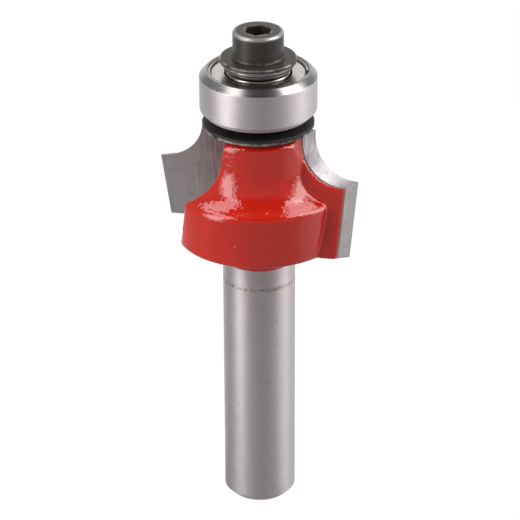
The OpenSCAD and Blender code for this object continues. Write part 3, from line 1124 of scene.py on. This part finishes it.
def black_oxide(name, rims, rust_z=None, rough=0.38, tone_level=1.0):
    """Blackened steel, worn along the given rims of (radius, height, width, cover).

    The tone level is how light the black is, against that of the screw. Rust starts at rust_z and
    thins out above it.
    """
    material, tree, to = new_material(name, Specular_IOR_Level=0.4)
    point, _, _, z, _ = place(tree)
    grain = noise(tree, point, waves=7.0, detail=4.0, rough=0.7)
    black = shaded(BLACK, tone_level)
    tone = tint(tree, between(tree, grain, 0.4, 0.7), black, shaded(black, 2.2))
    if rust_z:
        low = between(tree, sums(tree, "SUBTRACT", z, rust_z), 1.4, 0.1)
        spots = between(tree, noise(tree, point, waves=1.6, detail=4.0, rough=0.65), 0.42, 0.66)
        rust = sums(tree, "MULTIPLY", low, spots)
        tone = tint(tree, sums(tree, "MULTIPLY", rust, 0.6), tone, RUST)
    worn = 0.0
    for radius, height, width, cover in rims:
        edge = use(tree, "rim", Radius=radius, Height=height, Width=width, Cover=cover)
        worn = sums(tree, "MAXIMUM", worn, edge)
    put(tree, to["Base Color"], tint(tree, worn, tone, BARE))
    put(tree, to["Metallic"], sums(tree, "MULTIPLY", worn, 0.85))
    put(tree, to["Roughness"], between(tree, grain, 0.3, 0.7, rough - 0.06, rough + 0.1))
    put(tree, to["Normal"], relief(tree, grain, 2.5))
    return material


# %% [markdown]
# ## Giving each piece its finish
#
# Each finish is made once, with its own strength of grain, wear and stain. The rims that wear are
# given as radius, height, width and cover, where cover is how much of the rim is bare.

# %% Finishes
STAIN_Z = 27.36

red = red_enamel()
shank_steel = ground_steel("shank_steel", rough=0.53, anisotropy=0.72, stain_z=STAIN_Z)
ring_steel = ground_steel("ring_steel", rough=0.57, anisotropy=0.62)
polished = turned_steel("polished_steel", (0.35, 0.332, 0.328), 0.24)
inner_steel = turned_steel("inner_steel", (0.34, 0.31, 0.28), 0.25)
pressed = turned_steel("pressed_steel", (0.62, 0.605, 0.59), 0.24, lines=5.0)
spring_wire = turned_steel("spring_wire", (0.40, 0.38, 0.33), 0.16)
ball_steel = turned_steel("ball_steel", (0.6, 0.59, 0.58), 0.07)
cage_sheet = turned_steel("cage_sheet", (0.52, 0.5, 0.46), 0.3)
carbide = carbide_finish()
washer_black = black_oxide("washer_black", [
    (FLANGE_R - 0.05, SCREW_SEAT - 0.05, 0.16, 0.5),
    (FLANGE_R - 0.03, FLANGE_LOW + 0.05, 0.2, 0.66),
    (STEP_R - 0.04, STEP_HIGH - 0.09, 0.2, 0.62),
    (STEP_R - 0.04, STEP_LOW + 0.05, 0.18, 0.56),
])
dust_black = black_oxide("dust_washer_black", [
    (DUST_WASHER_R, HEAD_TOP + 0.1, 0.32, 0.47),
], rough=0.55, tone_level=0.45)
screw_black = black_oxide("screw_black", [
    (SCREW_HEAD_R - 0.09, SCREW_TOP - 0.08, 0.36, 0.62),
    (HEX_R, SCREW_TOP, 0.12, 0.4),
    (SCREW_FOOT_R - 0.06, SCREW_SEAT + 0.1, 0.12, 0.3),
], rust_z=SCREW_SEAT)

# %% [markdown]
# ## Dressing the pieces
#
# Each dressed piece rides on its body and stands for its CAD node. The balls, the cage and the
# rivets hardly show, so their CAD solids stay and only get a finish. The upper chamfer of the
# guide ring and its faces are turned and polished, not ground, so they get their own material.

# %% Dressing
dress(head, "bit", red, "red_head", "cutter_body")
dress(shank, "bit", shank_steel, "bearing_steel", "cutter_body")
dress(spigot, "bit", polished, "bearing_steel", "cutter_body")
dress(tips["1"], "bit", carbide, "carbide", "carbide_tip_1")
dress(tips["2"], "bit", carbide, "carbide", "carbide_tip_2")
dress(dust_washer, "bit", dust_black, "black_oxide", "dust_washer")
dress(spacer, "bit", dust_black, "black_oxide", "lower_spacer")
dress(top_washer, "bit", washer_black, "black_oxide", "top_washer")
dress(screw, "bit", screw_black, "black_oxide", "cap_screw")
dress(inner, "bit", inner_steel, "bearing_steel", "bearing_inner_ring")
dress(guide_ring, "guide_ring", ring_steel, "bearing_steel", "bearing_outer_ring")
dress(shields[0], "guide_ring", pressed, "shield_steel", "shield_upper")
dress(shields[1], "guide_ring", pressed, "shield_steel", "shield_lower")
dress(clips[0], "guide_ring", spring_wire, "shield_steel", "shield_clip_upper")
dress(clips[1], "guide_ring", spring_wire, "shield_steel", "shield_clip_lower")

# %% Polished faces of the guide ring
WALL_DEPTH = 0.02

guide_ring.data.materials.append(polished)
wall_r = (RING_R - WALL_DEPTH) * MM
for polygon in guide_ring.data.polygons:
    centre = polygon.center
    turned = math.hypot(centre.x, centre.y) < wall_r and centre.z > BEARING_MID * MM
    polygon.material_index = int(turned)

# %% Balls and cage
for name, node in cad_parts.items():
    if name.startswith(("bearing_ball", "cage")):
        node.data.materials.clear()
        node.data.materials.append(ball_steel if "ball" in name else cage_sheet)
print("materials:", len(bpy.data.materials))

# %% [markdown]
# ## Table and light
#
# The bit stands on a white table in a white room. The table and the room are white for the camera.
# Their reflection in the metal fades towards the darker side behind the camera, which gives the
# steel its grey middle, and brightens a little towards the right, where the light comes back from
# the soft box. The table also catches the soft shadow. The Light Path node tells these rays apart.

# %% Table
TABLE_SIZE = 2.0
TABLE_GLOW = 1.1
TABLE_MATT = (0.42, 0.42, 0.42, 1)
GLOW_SHARE = 0.88
FRONT = 0.41
RIGHT_SIDE = 0.38
WHITE = (1, 1, 1, 1)
CAMERA_TURN = math.radians(9.7)
AWAY = Vector((-math.sin(CAMERA_TURN), math.cos(CAMERA_TURN), 0))
RIGHT = Vector((math.cos(CAMERA_TURN), math.sin(CAMERA_TURN), 0))


def ray_is(tree, *kinds):
    """1 for any of these kinds of light ray."""
    path = add(tree, "LightPath")
    total = 0.0
    for kind in kinds:
        total = sums(tree, "MAXIMUM", total, path.outputs["Is " + kind + " Ray"])
    return total


def along(tree, vector, way):
    """How far a vector goes one way."""
    made = add(tree, "VectorMath", {0: vector, 1: way}, operation="DOT_PRODUCT")
    return made.outputs["Value"]


def table_white():
    """White for the camera, darker towards the camera in reflections, and keeps shadows."""
    material = bpy.data.materials.new("table_white")
    material.use_nodes = True
    tree = material.node_tree
    tree.nodes.clear()
    point = add(tree, "TexCoord").outputs["Object"]
    reach = add(tree, "VectorMath", {0: point}, operation="LENGTH").outputs["Value"]
    backward = sums(tree, "DIVIDE", along(tree, point, AWAY), reach)
    sideways = sums(tree, "DIVIDE", along(tree, point, RIGHT), reach)
    room_side = between(tree, backward, 0.3, 0.85, FRONT, 1.0)
    box_side = between(tree, sideways, 0.72, 0.97, 0.0, RIGHT_SIDE)
    glossy = ray_is(tree, "Glossy")
    mirrored_level = sums(tree, "MULTIPLY", glossy, sums(tree, "ADD", room_side, box_side))
    level = sums(tree, "ADD", mirrored_level, sums(tree, "SUBTRACT", 1.0, glossy))
    glow = add(tree, "Emission", {"Color": WHITE, "Strength": sums(tree, "MULTIPLY", level, TABLE_GLOW)})
    matt = add(tree, "BsdfDiffuse", {"Color": TABLE_MATT})
    share = sums(tree, "MULTIPLY", ray_is(tree, "Camera", "Glossy", "Transmission"), GLOW_SHARE)
    mixed = add(tree, "MixShader", {0: share, 1: matt.outputs[0], 2: glow.outputs[0]})
    end = add(tree, "OutputMaterial")
    tree.links.new(mixed.outputs[0], end.inputs["Surface"])
    return material


bm = bmesh.new()
bmesh.ops.create_grid(bm, x_segments=1, y_segments=1, size=TABLE_SIZE)
table = piece_from(bm, "table", scale=1)
table.data.materials.append(table_white())

# %% Room
FILL = 0.35
DARK_ROOM = 0.07

world = bpy.data.worlds.new("room")
bpy.context.scene.world = world
world.use_nodes = True
room = world.node_tree
room.nodes.clear()
direction = add(room, "TexCoord").outputs["Generated"]
upward = add(room, "SeparateXYZ", {"Vector": direction}).outputs["Z"]
glossy_room = ray_is(room, "Glossy")
near_side = between(room, upward, 0.6, 0.86, FRONT, DARK_ROOM)
far_side = between(room, along(room, direction, AWAY), 0.5, 0.92)
mirrored_room = sums(room, "MULTIPLY", glossy_room, sums(room, "MAXIMUM", near_side, far_side))
seen = ray_is(room, "Camera", "Transmission")
rest = sums(room, "SUBTRACT", 1.0, sums(room, "MAXIMUM", seen, glossy_room))
unseen = sums(room, "ADD", mirrored_room, sums(room, "MULTIPLY", rest, FILL))
background = add(room, "Background", {"Color": WHITE, "Strength": sums(room, "ADD", seen, unseen)})
room_out = add(room, "OutputWorld")
room.links.new(background.outputs[0], room_out.inputs["Surface"])


# %% [markdown]
# Two tall soft boxes stand left and right, and draw the two bright bands down the steel and the
# two highlights in the cove of the head. Each has a core, a little closer, that is brighter, as
# the lamp behind the cloth is. A strip above each box, and a little behind it, lights the top of
# the neck and the chamfer of the guide ring.

# %% Soft boxes
HEAD_CENTRE = Vector((0, 0, 0.04))


def soft_box(name, azimuth, elevation, distance, wide, tall, radiance):
    """A soft box seen from the head at these angles, facing it.

    Angles are in degrees, width and height too. Azimuth 0 points at the camera and turns positive
    to the right. The distance is in metres.
    """
    data = bpy.data.lights.new(name, "AREA")
    data.shape = "ELLIPSE"
    data.size = 2 * distance * math.tan(math.radians(wide / 2))
    data.size_y = 2 * distance * math.tan(math.radians(tall / 2))
    area = math.pi / 4 * data.size * data.size_y
    data.energy = radiance * math.pi * area
    lamp = bpy.data.objects.new(name, data)
    bpy.context.scene.collection.objects.link(lamp)
    lamp.matrix_world = (Matrix.Translation(HEAD_CENTRE)
                         @ Matrix.Rotation(CAMERA_TURN + math.radians(azimuth), 4, "Z")
                         @ Matrix.Rotation(math.radians(90 - elevation), 4, "X")
                         @ Matrix.Translation((0, 0, distance)))
    return lamp


EVEN = 1.9
HOT = 3.1
STRIP = EVEN + HOT / 2
soft_box("left_box", azimuth=-61, elevation=13, distance=0.100, wide=34, tall=82, radiance=EVEN)
soft_box("left_core", azimuth=-61, elevation=16, distance=0.098, wide=20, tall=60, radiance=HOT)
soft_box("left_strip", azimuth=-95, elevation=61, distance=0.250, wide=60, tall=20, radiance=STRIP)
soft_box("right_box", azimuth=88, elevation=28, distance=0.180, wide=38, tall=68, radiance=EVEN)
soft_box("right_core", azimuth=88, elevation=30, distance=0.178, wide=22, tall=50, radiance=HOT)
soft_box("right_strip", azimuth=111, elevation=60, distance=0.250, wide=54, tall=22, radiance=STRIP)
print("lights:", len(bpy.data.lights))

# %% [markdown]
# ## Camera
#
# The camera was matched to the photograph: a long lens, looking down at the bit from a little to
# the right of its front. Its distance and height are in millimetres, and its focal length is in
# pixels of the picture, which the sensor's width turns into millimetres.

# %% Camera
CAMERA_DISTANCE = 267.6
CAMERA_HEIGHT = 164.45
CAMERA_PITCH = math.radians(26.82)
CAMERA_YAW = math.radians(-0.022)
CAMERA_ROLL = math.radians(-0.232)
FOCAL_PX = 2709.4
PICTURE_PX = 520
SENSOR = 36
NEAREST = 0.01

camera_data = bpy.data.cameras.new("camera")
camera_data.sensor_width = SENSOR
camera_data.lens = FOCAL_PX * SENSOR / PICTURE_PX
camera_data.clip_start = NEAREST
camera = bpy.data.objects.new("camera", camera_data)
bpy.context.scene.collection.objects.link(camera)
camera.matrix_world = (Matrix.Rotation(CAMERA_TURN, 4, "Z")
                       @ Matrix.Translation((0, -CAMERA_DISTANCE * MM, CAMERA_HEIGHT * MM))
                       @ Matrix.Rotation(CAMERA_YAW, 4, "Z")
                       @ Matrix.Rotation(math.pi / 2 - CAMERA_PITCH, 4, "X")
                       @ Matrix.Rotation(CAMERA_ROLL, 4, "Z"))
bpy.context.scene.camera = camera
bpy.context.scene.view_settings.view_transform = "Standard"
